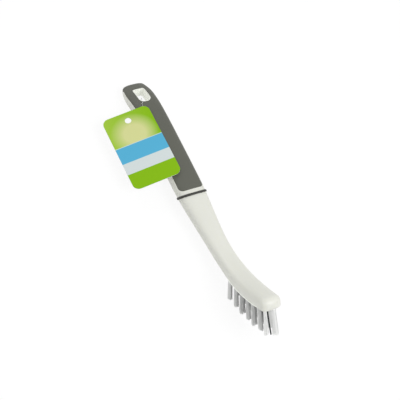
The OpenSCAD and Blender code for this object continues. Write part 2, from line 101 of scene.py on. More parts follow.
def width_at(s):
    return (END_W + (HANDLE_W - END_W) * rise(s, FLARE_LEN)
            - (HANDLE_W - WAIST_W) * ease(s, WAIST_START, WAIST_STOP)
            - (WAIST_W - NECK_W) * ease(s, TAPER_START, TAPER_STOP)
            + (HEAD_W - NECK_W) * ease(s, NECK_AT, WIDEST)
            - (HEAD_W - TOE_W) * ease(s, NARROWING, BRUSH_LEN))


def thick_at(s):
    thinning = (np.maximum(s - FLAT_START - 1, 0) / (BRUSH_LEN - FLAT_START - 1)) ** THIN_POWER
    return (END_T + (HANDLE_T - END_T) * rise(s, SWELL_LEN)
            - (HANDLE_T - NECK_T) * ease(s, THIN_START, THIN_STOP) - (NECK_T - TOE_T) * thinning)


def slope_at(s):
    sag = ease(s, SAG_START, SAG_FULL) - ease(s, SAG_FADE, SAG_STOP)
    return (END_DROOP * (1 - ease(s, 0, DROOP_STOP)) - MID_SAG * sag
            + HEAD_RISE * ease(s, BEND_START, BEND_STOP))


# The centreline, stepped from the end of the handle to a little past the toe
PATH_STEP = 0.5
path_mid = np.radians(slope_at(np.arange(0, BRUSH_LEN + 20, PATH_STEP) + PATH_STEP / 2))
PATH_X = np.concatenate([[0], np.cumsum(np.cos(path_mid)) * PATH_STEP])
PATH_Z = np.concatenate([[0], np.cumsum(np.sin(path_mid)) * PATH_STEP])
PATH_S = np.arange(len(PATH_X)) * PATH_STEP


def place(s, y, h):
    """The point h above the centreline and y to its side, at distance s along the brush."""
    s = np.asarray(s, float)
    a = np.radians(slope_at(s))
    x = np.interp(s, PATH_S, PATH_X) - h * np.sin(a)
    z = np.interp(s, PATH_S, PATH_Z) + h * np.cos(a)
    return np.stack(np.broadcast_arrays(x, y, z), -1)


def rounding(s, run):
    u = np.clip(np.asarray(s, float) / run, 0, 1)
    return 1 - np.sqrt(1 - (1 - u) ** 2)


def toe_dome(s):
    """Share of the section left near the toe, which closes in a soft dome."""
    v = np.clip((np.asarray(s, float) - BRUSH_LEN + TOE_ROUND) / (TOE_ROUND + TOE_BULGE), 0, 1)
    return (1 - v ** TOE_POWER) ** (1 / TOE_POWER)


def half_w(s, d=0.0):
    return (width_at(s) / 2 - d - (END_CORNER - d) * rounding(s, END_CORNER)) * toe_dome(s)


def half_t(s, d=0.0):
    return (thick_at(s) / 2 - d - (END_EDGE - d) * rounding(s, END_CORNER)) * toe_dome(s)


def belly_at(s):
    return END_BELLY * (1 - ease(s, 0, BELLY_STOP))


def fall_at(s):
    return TOE_FALL * rounding(BRUSH_LEN - s, BRUSH_LEN - FALL_START) * toe_dome(s)


def along(s, d):
    return np.where(s < END_CORNER, d + s * (END_CORNER - d) / END_CORNER, s)


def lower_power(s):
    square = ease(s, FLAT_START, FLAT_STOP) + 1 - ease(s, SQUARE_END, BELLY_STOP)
    return SECTION_POWER + (SQUARE_POWER - SECTION_POWER) * square


def lean_at(s):
    return (math.tan(math.radians(RING_LEAN)) * ease(s, LEAN_START, LEAN_FULL)
            * (1 - ease(s, LEAN_FADE, LEAN_STOP)))


def seam_at(s):
    """Angle of the grip's edge round the section: it dips round the end and is rounded at the ring."""
    u = np.clip((np.asarray(s, float) - GRIP_END + GRIP_CORNER) / GRIP_CORNER, 0, 1)
    corner = (SEAM_TOP - FLANK_ANGLE) * (1 - np.sqrt(1 - u * u)) * (s <= GRIP_END)
    end = ((SEAM_NEAR * FLANK_ANGLE + END_DIP) * ease(s, 0, SEAM_TURN) - END_DIP
           + SEAM_FAR * FLANK_ANGLE * ease(s, SEAM_TURN, DROOP_STOP))
    return end + corner - FLANK_ANGLE * ease(s, RING_START, RING_STOP + SEAM_FADE)


def rim_reach(c, n, power):
    """How far the unit section reaches in the direction with this cosine and sine."""
    return (np.abs(c) ** power + np.abs(n) ** power) ** (-1 / power)


def skin_point(s, phi, d=0.0):
    """A point of the skin, sunk by d, at an angle round the section from the right-hand side."""
    s, phi, d = np.broadcast_arrays(np.asarray(s, float), np.asarray(phi, float), np.asarray(d, float))
    c, n = np.cos(np.radians(phi)), np.sin(np.radians(phi))
    below = n < 0
    r = rim_reach(c, n, np.where(below, lower_power(s), SECTION_POWER))
    h = (half_t(s, d) + np.where(below, belly_at(s), -fall_at(s))) * n * r
    return place(along(s, d) + lean_at(s) * h, half_w(s, d) * c * r, h)


def tuft_len(k):
    return BRISTLE_LEN + TRIM_STEP * (k - (TUFTS + 1) / 2)


# How the brush lies: on the end of its handle and its heel tufts
STRAND_REACH = 0.86
HEEL_S = BRUSH_LEN - TOE_TO_TUFT - (TUFTS - 1) * TUFT_PITCH
heel_slope = math.radians(float(slope_at(HEEL_S)))
heel_reach = TUFT_HOLE_D / 2 * SPLAY * STRAND_REACH
heel_tip = (place(HEEL_S, 0, -(float(thick_at(HEEL_S)) / 2 + tuft_len(1)))
            - heel_reach * np.array([math.cos(heel_slope), 0, math.sin(heel_slope)]))
end_bottom = place(END_CORNER, 0, -float(half_t(END_CORNER) + belly_at(END_CORNER)))
REST_TILT = math.atan((end_bottom[2] - heel_tip[2]) / (heel_tip[0] - end_bottom[0]))
REST_LIFT = -end_bottom[0] * math.sin(REST_TILT) - end_bottom[2] * math.cos(REST_TILT)
HOLE_MIDDLE = HOLE_FROM_END + HOLE_LEN / 2
HOLE_FOOT = HOLE_MIDDLE / math.cos(REST_TILT) + REST_LIFT * math.tan(REST_TILT)
LAY = np.array([[math.cos(REST_TILT), 0, -math.sin(REST_TILT)], [0, 1, 0],
                [math.sin(REST_TILT), 0, math.cos(REST_TILT)]])


def turned(v):
    return np.asarray(v, float) @ LAY.T


def laid(p):
    """Points of the brush's own frame, in millimetres, laid on the table, in metres."""
    return (turned(p) + [-HOLE_FOOT, 0, REST_LIFT]) / 1000


# Camera, light and stage
def add_camera():
    at, aim = Vector(laid(CAMERA_AT)), Vector(laid(CAMERA_AIM))
    back = (at - aim).normalized()
    right = Vector(turned(CAMERA_UP)).cross(back).normalized()
    up = back.cross(right)
    data = bpy.data.cameras.new("photo_camera")
    data.lens, data.sensor_width = CAMERA_LENS, 36.0
    data.clip_start, data.clip_end = 0.05, 20.0
    camera = bpy.data.objects.new("photo_camera", data)
    bpy.context.scene.collection.objects.link(camera)
    camera.matrix_world = Matrix.Translation(at) @ Matrix((right, up, back)).transposed().to_4x4()
    bpy.context.scene.camera = camera


def add_lamp(name, at, aim, size, power):
    data = bpy.data.lights.new(name, "AREA")
    data.shape, data.size, data.energy = "DISK", size, power
    lamp = bpy.data.objects.new(name, data)
    bpy.context.scene.collection.objects.link(lamp)
    lamp.location = at
    lamp.rotation_euler = (Vector(aim) - Vector(at)).to_track_quat("-Z", "Y").to_euler()


def seen_rays(tree):
    """One for camera, glossy and transmission rays, which see the white room."""
    path = tree.nodes.new("ShaderNodeLightPath")
    total = path.outputs["Is Camera Ray"]
    for ray in ("Is Glossy Ray", "Is Transmission Ray"):
        add = tree.nodes.new("ShaderNodeMath")
        add.operation, add.use_clamp = "ADD", True
        tree.links.new(total, add.inputs[0])
        tree.links.new(path.outputs[ray], add.inputs[1])
        total = add.outputs[0]
    return total


def add_world(level):
    """A white room: seen at full strength, and lighting the brush with a part of it."""
    world = bpy.data.worlds.new("studio")
    bpy.context.scene.world = world
    world.use_nodes = True
    tree = world.node_tree
    tree.nodes.clear()
    room, seen = tree.nodes.new("ShaderNodeBackground"), tree.nodes.new("ShaderNodeBackground")
    room.inputs["Color"].default_value = (1, 1, 1, 1)
    room.inputs["Strength"].default_value = level
    seen.inputs["Color"].default_value = (1, 1, 1, 1)
    seen.inputs["Strength"].default_value = 1.0
    mix, out = tree.nodes.new("ShaderNodeMixShader"), tree.nodes.new("ShaderNodeOutputWorld")
    tree.links.new(seen_rays(tree), mix.inputs[0])
    tree.links.new(room.outputs[0], mix.inputs[1])
    tree.links.new(seen.outputs[0], mix.inputs[2])
    tree.links.new(mix.outputs[0], out.inputs["Surface"])


def add_floor(size=6.0, drop=0.0003, paper=0.13, glow=0.885):
    """A white table: mostly seen as white, with enough plain paper in it to keep the shadow."""
    mesh = bpy.data.meshes.new("floor")
    corners = [(-size, -size, 0), (size, -size, 0), (size, size, 0), (-size, size, 0)]
    mesh.from_pydata(corners, [], [(0, 1, 2, 3)])
    floor = bpy.data.objects.new("floor", mesh)
    floor.location.z = -drop
    bpy.context.scene.collection.objects.link(floor)
    material = bpy.data.materials.new("white_table")
    material.use_nodes = True
    tree = material.node_tree
    tree.nodes.clear()
    plain, seen = tree.nodes.new("ShaderNodeBsdfDiffuse"), tree.nodes.new("ShaderNodeBsdfDiffuse")
    plain.inputs["Color"].default_value = (0.92, 0.92, 0.92, 1)
    seen.inputs["Color"].default_value = (paper, paper, paper, 1)
    shine, both = tree.nodes.new("ShaderNodeEmission"), tree.nodes.new("ShaderNodeAddShader")
    shine.inputs["Strength"].default_value = glow
    mix, out = tree.nodes.new("ShaderNodeMixShader"), tree.nodes.new("ShaderNodeOutputMaterial")
    tree.links.new(seen.outputs[0], both.inputs[0])
    tree.links.new(shine.outputs[0], both.inputs[1])
    tree.links.new(seen_rays(tree), mix.inputs[0])
    tree.links.new(plain.outputs[0], mix.inputs[1])
    tree.links.new(both.outputs[0], mix.inputs[2])
    tree.links.new(mix.outputs[0], out.inputs["Surface"])
    mesh.materials.append(material)


# Materials
class Shader:
    """A material with a principled shader, and short ways to add texture nodes to it."""

    def __init__(self, name, colour, roughness, **sockets):
        self.material = bpy.data.materials.new(name)
        self.material.use_nodes = True
        self.tree = self.material.node_tree
        self.skin = self.tree.nodes["Principled BSDF"]
        self.coords = self.tree.nodes.new("ShaderNodeTexCoord")
        self.skin.inputs["Base Color"].default_value = (*colour, 1)
        self.skin.inputs["Roughness"].default_value = roughness
        for socket, value in sockets.items():
            self.skin.inputs[socket.replace("_", " ")].default_value = value

    def link(self, a, b):
        self.tree.links.new(a, b)

    def node(self, kind, **settings):
        made = self.tree.nodes.new(kind)
        for key, value in settings.items():
            setattr(made, key, value)
        return made

    def noise(self, scale, detail=3.0):
        made = self.node("ShaderNodeTexNoise")
        made.inputs["Scale"].default_value = scale
        made.inputs["Detail"].default_value = detail
        self.link(self.coords.outputs["Object"], made.inputs["Vector"])
        return made.outputs["Fac"]

    def span(self, value, low, high, start=0.0, stop=1.0):
        made = self.node("ShaderNodeMapRange", clamp=True)
        for socket, number in (("From Min", start), ("From Max", stop), ("To Min", low), ("To Max", high)):
            made.inputs[socket].default_value = number
        self.link(value, made.inputs["Value"])
        return made.outputs["Result"]

    def mix(self, fac, a, b):
        made = self.node("ShaderNodeMix", data_type="RGBA")
        self.link(fac, made.inputs["Factor"])
        for socket, value in ((made.inputs[6], a), (made.inputs[7], b)):
            if isinstance(value, tuple):
                socket.default_value = (*value, 1)
            else:
                self.link(value, socket)
        return made.outputs[2]

    def bump(self, height, distance, strength):
        made = self.node("ShaderNodeBump")
        made.inputs["Distance"].default_value = distance
        made.inputs["Strength"].default_value = strength
        self.link(height, made.inputs["Height"])
        self.link(made.outputs["Normal"], self.skin.inputs["Normal"])


def shell_material():
    m = Shader("shell_plastic", (0.77, 0.775, 0.71), 0.36, IOR=1.49)
    m.skin.inputs["Subsurface Weight"].default_value = 0.08
    m.skin.inputs["Subsurface Radius"].default_value = (0.004, 0.004, 0.003)
    m.skin.inputs["Subsurface Scale"].default_value = 1.0
    cloud = m.noise(18.0, 4.0)
    m.link(m.mix(cloud, (0.755, 0.76, 0.69), (0.785, 0.79, 0.725)), m.skin.inputs["Base Color"])
    m.link(m.span(m.noise(60.0, 5.0), 0.31, 0.42), m.skin.inputs["Roughness"])
    m.bump(m.noise(1400.0, 2.0), 0.00002, 0.35)
    return m.material


def grip_material():
    m = Shader("grip_rubber", (0.105, 0.108, 0.088), 0.6, IOR=1.45)
    cloud = m.noise(30.0, 4.0)
    m.link(m.mix(cloud, (0.099, 0.102, 0.082), (0.112, 0.115, 0.094)), m.skin.inputs["Base Color"])
    m.link(m.span(m.noise(90.0, 5.0), 0.54, 0.66), m.skin.inputs["Roughness"])
    m.skin.inputs["Sheen Weight"].default_value = 0.25
    m.skin.inputs["Sheen Roughness"].default_value = 0.35
    m.bump(m.noise(2600.0, 2.0), 0.00003, 0.5)
    return m.material


# A faint glow is painted light: on the hole's liner, as a painted highlight on the head's lower edges,
# and on the lightest strands
LINER_PAINTED_LIGHT, EDGE_PAINTED_HIGHLIGHT, STRAND_PAINTED_LIGHT, STRAND_PAINTED_LIGHT_FROM = 0.13, 0.3, 0.1, 0.9


def painted_light_plastic(name, glow):
    """Lighter copies of the moulding's plastic with a faint glow: painted light where parts lie in shade."""
    m = Shader(name, (0.86, 0.865, 0.82), 0.4, IOR=1.49)
    m.link(m.mix(m.noise(40.0, 4.0), (0.85, 0.855, 0.81), (0.87, 0.875, 0.83)), m.skin.inputs["Base Color"])
    m.skin.inputs["Emission Color"].default_value = (0.95, 1.0, 0.9, 1)
    m.skin.inputs["Emission Strength"].default_value = glow
    return m.material


def ring_material():
    m = Shader("ring_rubber", (0.035, 0.035, 0.03), 0.5, IOR=1.45)
    m.link(m.mix(m.noise(60.0), (0.03, 0.03, 0.026), (0.041, 0.041, 0.036)), m.skin.inputs["Base Color"])
    m.bump(m.noise(2600.0, 2.0), 0.00003, 0.5)
    return m.material


def bristle_material():
    """Each strand lies between a near-black painted shade and the nylon's light colour; the lightest glow
    faintly.
    """
    dark, light = (0.01, 0.012, 0.015), (0.93, 0.935, 0.925)
    m = Shader("bristle_nylon", (0.8, 0.81, 0.79), 0.4, IOR=1.5)
    shade = m.node("ShaderNodeAttribute", attribute_name="strand").outputs["Fac"]
    m.link(m.mix(shade, dark, light), m.skin.inputs["Base Color"])
    m.skin.inputs["Emission Color"].default_value = (1, 1, 1, 1)
    m.link(m.span(shade, 0.0, STRAND_PAINTED_LIGHT, STRAND_PAINTED_LIGHT_FROM), m.skin.inputs["Emission Strength"])
    m.bump(m.noise(3000.0, 2.0), 0.00001, 0.4)
    return m.material


def anchor_material():
    m = Shader("anchor_steel", (0.6, 0.6, 0.58), 0.35, Metallic=1.0)
    m.link(m.span(m.noise(400.0), 0.28, 0.45), m.skin.inputs["Roughness"])
    return m.material


def tie_material():
    m = Shader("tie_nylon", (0.95, 0.96, 0.96), 0.22, IOR=1.2)
    m.skin.inputs["Transmission Weight"].default_value = 0.9
    m.link(m.span(m.noise(300.0), 0.16, 0.3), m.skin.inputs["Roughness"])
    return m.material


# The printed bands of the tag, as distances in millimetres from its top edge. One UV unit is 100 mm
UV_MM = 100
GREEN, LIGHT_GREEN, GLOW_GREEN = (0.25, 0.51, 0.012), (0.40, 0.615, 0.068), (0.69, 0.715, 0.32)
BLUE, PALE, LINE = (0.105, 0.46, 0.70), (0.68, 0.75, 0.75), (0.72, 0.8, 0.74)
BLUE_FROM, PALE_FROM, GREEN_FROM = 35.4, 53.7, 65.8
GLOW_AT, GLOW_CORE, GLOW_REACH = (24.3, 26.1), 10.5, 23.7

# In UV units: how far the light side of the field reaches, how soft the bands are, and the thin lines on them
SIDE_LIGHT, SIDE_REACH, BAND_SOFT = 0.85, 0.49, 0.0008
LINE_LIGHT, LINE_CORE, LINE_REACH = 0.75, 0.002, 0.005


def print_material():
    """Green, blue and pale bands over the card, with a soft glow in the upper field."""
    m = Shader("tag_print", GREEN, 0.5, IOR=1.1)
    split = m.node("ShaderNodeSeparateXYZ")
    m.link(m.coords.outputs["UV"], split.inputs[0])
    across, down = split.outputs["X"], split.outputs["Y"]
    centre = m.node("ShaderNodeVectorMath", operation="DISTANCE")
    centre.inputs[1].default_value = (GLOW_AT[0] / UV_MM, GLOW_AT[1] / UV_MM, 0)
    m.link(m.coords.outputs["UV"], centre.inputs[0])
    glow = m.span(centre.outputs["Value"], 1.0, 0.0, GLOW_CORE / UV_MM, GLOW_REACH / UV_MM)
    side = m.span(across, SIDE_LIGHT, 0.0, 0.0, SIDE_REACH)
    field = m.mix(side, GREEN, LIGHT_GREEN)
    field = m.mix(glow, field, GLOW_GREEN)
    for start, colour in ((BLUE_FROM, BLUE), (PALE_FROM, PALE), (GREEN_FROM, GREEN)):
        border = m.span(down, 0.0, 1.0, start / UV_MM - BAND_SOFT, start / UV_MM + BAND_SOFT)
        field = m.mix(border, field, colour)
    for start in (BLUE_FROM, PALE_FROM):
        near = m.node("ShaderNodeMath", operation="SUBTRACT")
        near.inputs[1].default_value = start / UV_MM
        m.link(down, near.inputs[0])
        away = m.node("ShaderNodeMath", operation="ABSOLUTE")
        m.link(near.outputs[0], away.inputs[0])
        field = m.mix(m.span(away.outputs[0], LINE_LIGHT, 0.0, LINE_CORE, LINE_REACH), field, LINE)
    m.link(field, m.skin.inputs["Base Color"])
    m.link(m.span(m.noise(120.0, 5.0), 0.4, 0.5), m.skin.inputs["Roughness"])
    m.bump(m.noise(900.0, 4.0), 0.00002, 0.25)
    return m.material


def card_material():
    m = Shader("tag_card", (0.82, 0.82, 0.79), 0.7)
    m.link(m.mix(m.noise(700.0, 6.0), (0.78, 0.78, 0.75), (0.85, 0.85, 0.82)), m.skin.inputs["Base Color"])
    m.bump(m.noise(1500.0, 5.0), 0.00003, 0.4)
    return m.material


# Mesh helpers
def new_object(name, points_mm, faces):
    """An object in the scene from points of the brush's own frame."""
    mesh = bpy.data.meshes.new(name)
    mesh.from_pydata(laid(points_mm).tolist(), [], [list(map(int, f)) for f in faces])
    made = bpy.data.objects.new(name, mesh)
    bpy.context.scene.collection.objects.link(made)
    return made


def turn_outwards(mesh, merge=0.0):
    """Turns the faces outwards, after points within the merge distance are joined."""
    work = bmesh.new()
    work.from_mesh(mesh)
    if merge:
        bmesh.ops.remove_doubles(work, verts=work.verts, dist=merge)
    bmesh.ops.recalc_face_normals(work, faces=work.faces)
    work.to_mesh(mesh)
    work.free()


def add_mesh(name, points_mm, faces, material, body, smooth=40.0):
    """A mesh piece of the object, shaded smooth up to an angle."""
    piece = new_object(name, points_mm, faces)
    mesh = piece.data
    mesh.validate()
    mesh.materials.append(material)
    turn_outwards(mesh, merge=1e-7)
    mesh.shade_smooth()
    mesh.set_sharp_from_angle(angle=math.radians(smooth))
    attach(piece, body)
    return piece


def grid_faces(rows, columns, start=0, closed=True):
    """Quads between rows of points, each row closed on itself or open."""
    last = columns if closed else columns - 1
    return [(start + i * columns + j, start + i * columns + (j + 1) % columns,
             start + (i + 1) * columns + (j + 1) % columns, start + (i + 1) * columns + j)
            for i in range(rows - 1) for j in range(last)]


def band_faces(rows, columns):
    """Quads of a closed band: the last row joins the first one."""
    last = (rows - 1) * columns
    return grid_faces(rows, columns) + [(last + j, last + (j + 1) % columns, (j + 1) % columns, j)
                                        for j in range(columns)]


def cut_away(piece, cutter):
    """Cuts the cutter out of the piece and removes the cutter."""
    modifier = piece.modifiers.new("cut", "BOOLEAN")
    modifier.operation, modifier.solver, modifier.object = "DIFFERENCE", "EXACT", cutter
    bpy.context.view_layer.objects.active = piece
    with bpy.context.temp_override(object=piece, active_object=piece, selected_objects=[piece]):
        bpy.ops.object.modifier_apply(modifier="cut")
    bpy.data.objects.remove(cutter)


# The edge of the grip: both skins dip a little towards the line where they meet
SHUT_REACH, SHUT_DEPTH = 0.55, 0.2
SHUT_STEPS = (0.0, 0.06, 0.14, 0.25, 0.38, 0.55)
# Distance between stations along the handle, and how far the grip's inner skin stops short of the outer one
SKIN_STEP, INNER_STOP = 0.8, 0.02
# The flank lies at this share of the half width, which is taken as at least so much
FLANK_SHARE, LEAST_HALF = 0.97, 2


def shut_line(distance):
    return SHUT_DEPTH * np.clip(1 - distance / SHUT_REACH, 0, 1) ** 2


def side_angles(s, reach):
    """A length on the flank as an angle round the section."""
    return math.degrees(reach) / np.maximum(half_w(s) * FLANK_SHARE, LEAST_HALF)


def edge_points():
    """Points along the edge of the grip, for measuring distances from it."""
    s = np.concatenate([np.linspace(0, GRIP_END - GRIP_CORNER, 240),
                        GRIP_END - GRIP_CORNER * (1 - np.sin(np.radians(np.linspace(0, 90, 40))))])
    right = skin_point(s, seam_at(s))
    left = skin_point(s, 180 - seam_at(s))
    end_angle = float(seam_at(np.array(GRIP_END)))
    across = skin_point(GRIP_END, np.linspace(end_angle, 180 - end_angle, 120))
    return np.concatenate([right, left, across])


class Edge:
    """Distance of any point from the edge of the grip."""

    def __init__(self):
        points = edge_points()
        self.tree = kdtree.KDTree(len(points))
        for i, p in enumerate(points):
            self.tree.insert(p, i)
        self.tree.balance()

    def distance(self, points):
        flat = points.reshape(-1, 3)
        return np.array([self.tree.find(p)[2] for p in flat]).reshape(points.shape[:-1])


def end_stations(count=14):
    """Stations round the corner at the end of the handle."""
    return END_CORNER * (1 - np.cos(np.radians(np.linspace(0, 90, count))))


def grip_stations():
    middle = np.arange(END_CORNER + SKIN_STEP, GRIP_END - GRIP_CORNER, SKIN_STEP)
    corner = GRIP_END - GRIP_CORNER * (1 - np.sin(np.radians(np.linspace(0, 78, 18))))
    return np.concatenate([end_stations(), middle, corner, [GRIP_END]])


def spread_angles(s, start, stop, count):
    """Angles from one edge of the grip to the other, with close columns beside both edges."""
    near = np.array([side_angles(s, step) for step in SHUT_STEPS]).T
    inner = np.linspace(0, 1, count)[1:-1]
    low, high = start[:, None] + near, stop[:, None] - near[:, ::-1]
    middle = low[:, -1:] + (high[:, :1] - low[:, -1:]) * inner
    return np.concatenate([low, middle, high], 1)


def upper_angles(s, count=61):
    """Angles across the top, from the right edge to the left one."""
    a = seam_at(s)
    return spread_angles(s, a, 180 - a, count)


def lower_angles(s, count=81):
    """Angles below the edge of the grip, from the left one under the handle to the right one."""
    a = seam_at(s)
    return spread_angles(s, 180 - a, 360 + a, count)


def skin_rows(s, angles, depth, edge=None):
    """Rows of skin points, each sunk by a depth and by the shut line beside the grip."""
    s2 = np.repeat(s[:, None], angles.shape[1], 1)
    points = skin_point(s2, angles, 0.0)
    sunk = depth + (shut_line(edge.distance(points)) if edge else 0)
    return skin_point(s2, angles, sunk)


def cap(start, count):
    """One face over a row of points."""
    return [tuple(range(start, start + count))]


def build_grip(material, edge):
    """The soft cover, from its own outer skin down to the recess."""
    s = grip_stations()
    angles = upper_angles(s)
    outer = skin_rows(s, angles, 0.0, edge)
    inner = skin_rows(s, angles, GRIP_T)
    inner[-1] = skin_point(s[-1] - INNER_STOP, angles[-1], GRIP_T)
    rows, columns = outer.shape[:2]
    points = np.concatenate([outer.reshape(-1, 3), inner.reshape(-1, 3)])
    base = rows * columns
    faces = grid_faces(rows, columns, 0, False) + grid_faces(rows, columns, base, False)
    borders = [(i * columns + j, (i + 1) * columns + j) for j in (0, columns - 1) for i in range(rows - 1)]
    borders += [(i * columns + j, i * columns + j + 1) for i in (0, rows - 1) for j in range(columns - 1)]
    faces += [(a, b, base + b, base + a) for a, b in borders]
    piece = add_mesh("grip_cover", points, faces, material, "root")
    cut_away(piece, hole_cutter(GRIP_CUT, widening=False))
    return piece


def shell_stations():
    """[station, depth under the grip, depth all round] down the whole brush."""
    rows = [(s, GRIP_T, 0.0) for s in grip_stations()]
    rows += [(GRIP_END, 0.0, 0.0)] + [(GRIP_END + d, 0.0, 0.0) for d in SHUT_STEPS[1:]]
    rows += [(s, 0.0, 0.0) for s in np.arange(GRIP_END + 1.0, RING_START - 0.5, 0.5)]
    lip = ((0.4, 0.0), (0.2, 0.03), (0.08, 0.09), (0.0, 0.2))
    rows += [(RING_START - d, 0.0, sunk) for d, sunk in lip]
    rows += [(RING_START + 0.01, 0.0, RING_DEPTH), (RING_STOP - 0.01, 0.0, RING_DEPTH)]
    rows += [(RING_STOP + d, 0.0, sunk) for d, sunk in lip[::-1]]
    rows += [(s, 0.0, 0.0) for s in np.arange(RING_STOP + 1.0, BRUSH_LEN - TOE_ROUND, 1.0)]
    rows += [(BRUSH_LEN - TOE_ROUND + (TOE_ROUND + TOE_BULGE) * math.sin(math.radians(f)), 0.0, 0.0)
             for f in np.linspace(0, 88, 24)]
    return np.array(rows)


def build_shell(material, edge):
    """The white body: skin, recess under the grip, groove for the ring, and the lined hanging hole."""
    rows = shell_stations()
    s = rows[:, 0]
    up, low = upper_angles(s), lower_angles(s)
    beside = s < GRIP_END + 2
    upper = skin_rows(s, up, rows[:, 1:2] + rows[:, 2:3])
    lower = skin_rows(s, low, rows[:, 2:3])
    upper_near = skin_rows(s[beside], up[beside], rows[beside, 2:3], edge)
    after = beside & (rows[:, 1] == 0)
    upper[after] = upper_near[after[beside]]
    lower[beside] = skin_rows(s[beside], low[beside], rows[beside, 2:3], edge)
    ring = np.concatenate([upper, lower], 1)
    count = ring.shape[1]
    faces = grid_faces(len(s), count)
    faces += cap(0, upper.shape[1]) + cap(upper.shape[1], lower.shape[1])
    faces += [(0, upper.shape[1] - 1, upper.shape[1], count - 1)]
    faces += cap((len(s) - 1) * count, count)
    piece = add_mesh("brush_shell", ring.reshape(-1, 3), faces, material, "root")
    cut_away(piece, hole_cutter(SHELL_CUT))
    return piece


# The hanging hole. The shell and the grip are cut back to lie behind the liner and the lip
SHELL_CUT, GRIP_CUT = 0.45, RIM_W + 0.4
# The hole widens a little downwards, and its lower edge is rounded
FOOT_ROUND, FOOT_DRAFT, LOOP_POINTS = 3.0, 0.6, 160
# The cutters reach this far out of the skin
CUT_PAST = 12.0


def hole_outline(grow, count=24, longest=0.7):
    """Points round the hole, seen from above: small corners at the end, round ones at the toe side."""
    x_end, x_toe = HOLE_FROM_END + HOLE_CORNER, HOLE_FROM_END + HOLE_LEN - HOLE_ROUND
    y_end, y_toe = HOLE_W / 2 - HOLE_CORNER, HOLE_W / 2 - HOLE_ROUND
    corners = ((x_toe, y_toe, HOLE_ROUND, 0), (x_end, y_end, HOLE_CORNER, 90),
               (x_end, -y_end, HOLE_CORNER, 180), (x_toe, -y_toe, HOLE_ROUND, 270))
    turn = np.radians(np.linspace(0, 90, count))
    points = []
    for x, y, r, start in corners:
        a = turn + math.radians(start)
        points.append(np.stack([x + (r + grow) * np.cos(a), y + (r + grow) * np.sin(a)], 1))
    ring = np.concatenate(points)
    dense = []
    for i in range(len(ring)):
        a, b = ring[i], ring[(i + 1) % len(ring)]
        parts = max(1, int(np.linalg.norm(b - a) / longest))
        dense += [a + (b - a) * k / parts for k in range(parts)]
    return np.array(dense)


def foot_round(inset=0.0, steps=9):
    """Offset and depth of the rounded lower edge, from the wall to the underside."""
    radius = FOOT_ROUND - inset
    turn = np.radians(np.linspace(0, 90, steps))
    return [(FOOT_DRAFT + FOOT_ROUND - radius * math.cos(a), FOOT_ROUND - radius * math.sin(a)) for a in turn]


def loop_at(offset, side, depth):
    """A loop round the hole at a depth below the top or bottom skin."""
    ring = hole_outline(offset)
    z = skin_height(ring[:, 0], ring[:, 1], side) - side * depth
    return resample(np.c_[ring, z], LOOP_POINTS)


def hole_cutter(grow, widening=True):
    """A column through the handle in the shape of the hole."""
    loops = [loop_at(grow, 1, -CUT_PAST), loop_at(grow, 1, -0.5)]
    if widening:
        loops += [loop_at(offset, -1, depth) for offset, depth in foot_round(grow)]
        loops.append(loop_at(FOOT_DRAFT + FOOT_ROUND, -1, -CUT_PAST))
    else:
        loops.append(loop_at(grow, -1, -CUT_PAST))
    n = LOOP_POINTS
    faces = grid_faces(len(loops), n) + cap(0, n) + cap((len(loops) - 1) * n, n)
    cutter = new_object("hole_cutter", np.concatenate(loops), faces)
    turn_outwards(cutter.data)
    return cutter


def skin_h(s, y, side=1):
    """Height of the top skin over the centreline, or of the bottom one with side = -1."""
    power = SECTION_POWER if side > 0 else lower_power(s)
    half = half_t(s) + (0 if side > 0 else belly_at(s))
    return side * half * (1 - np.minimum(np.abs(y) / half_w(s), 0.999) ** power) ** (1 / power)


def skin_height(x, y, side):
    """Height of the top or bottom skin over a place seen from above."""
    s = np.array(x, float)
    for _ in range(8):
        p = place(s, y, skin_h(s, y, side))
        s = s + (x - p[:, 0])
    return place(s, y, skin_h(s, y, side))[:, 2]


def rim_strip(name, profile, material):
    """A closed band round the hole. The profile is [offset, side, depth below that skin]."""
    points = np.concatenate([loop_at(*step) for step in profile])
    add_mesh(name, points, band_faces(len(profile), LOOP_POINTS), material, "root", 50.0)


def resample(loop, count):
    """The same closed loop with evenly numbered points, by the angle round its middle."""
    middle = np.array([HOLE_MIDDLE, 0.0])
    away = loop[:, :2] - middle
    angle = np.arctan2(away[:, 1], away[:, 0])
    order = np.argsort(angle)
    angle, loop = angle[order], loop[order]
    target = np.linspace(-math.pi, math.pi, count, endpoint=False)
    around = np.concatenate([angle - 2 * math.pi, angle, angle + 2 * math.pi])
    tripled = np.concatenate([loop, loop, loop])
    return np.stack([np.interp(target, around, tripled[:, k]) for k in range(3)], 1)


def build_rims(liner_look, grip_look):
    """The white liner of the hole, and the rounded lip of the grip beside it."""
    wall = [(RIM_W - 0.03, 1, 1.4), (RIM_W - 0.03, 1, 0.22), (RIM_W - 0.08, 1, 0.1), (RIM_W - 0.2, 1, 0.02),
            (RIM_W - 0.35, 1, 0.0), (0.32, 1, 0.0), (0.16, 1, 0.04), (0.05, 1, 0.14), (0.0, 1, 0.32)]
    foot = [(offset, -1, depth) for offset, depth in foot_round()]
    edge = foot[-1][0] + 0.25
    foot += [(edge, -1, -0.012), (edge, -1, 0.3)]
    rim_strip("hole_liner", wall + foot, liner_look)
    lip = [(RIM_W + 0.6, 1, 1.2), (RIM_W + 0.02, 1, 1.2), (RIM_W + 0.02, 1, 0.4), (RIM_W + 0.07, 1, 0.2),
           (RIM_W + 0.2, 1, 0.07), (RIM_W + 0.4, 1, 0.01), (RIM_W + 0.62, 1, -0.012), (RIM_W + 0.62, 1, 0.4)]
    rim_strip("grip_lip", lip, grip_look)


# The band of the ring, wider than its groove: the ring itself, and painted shade over the groove's edges
BAND_W, CROWN_H, CROWN_POWER, BAND_POINTS, BAND_GAP = 2.6, 1.0, 0.6, 192, 0.02


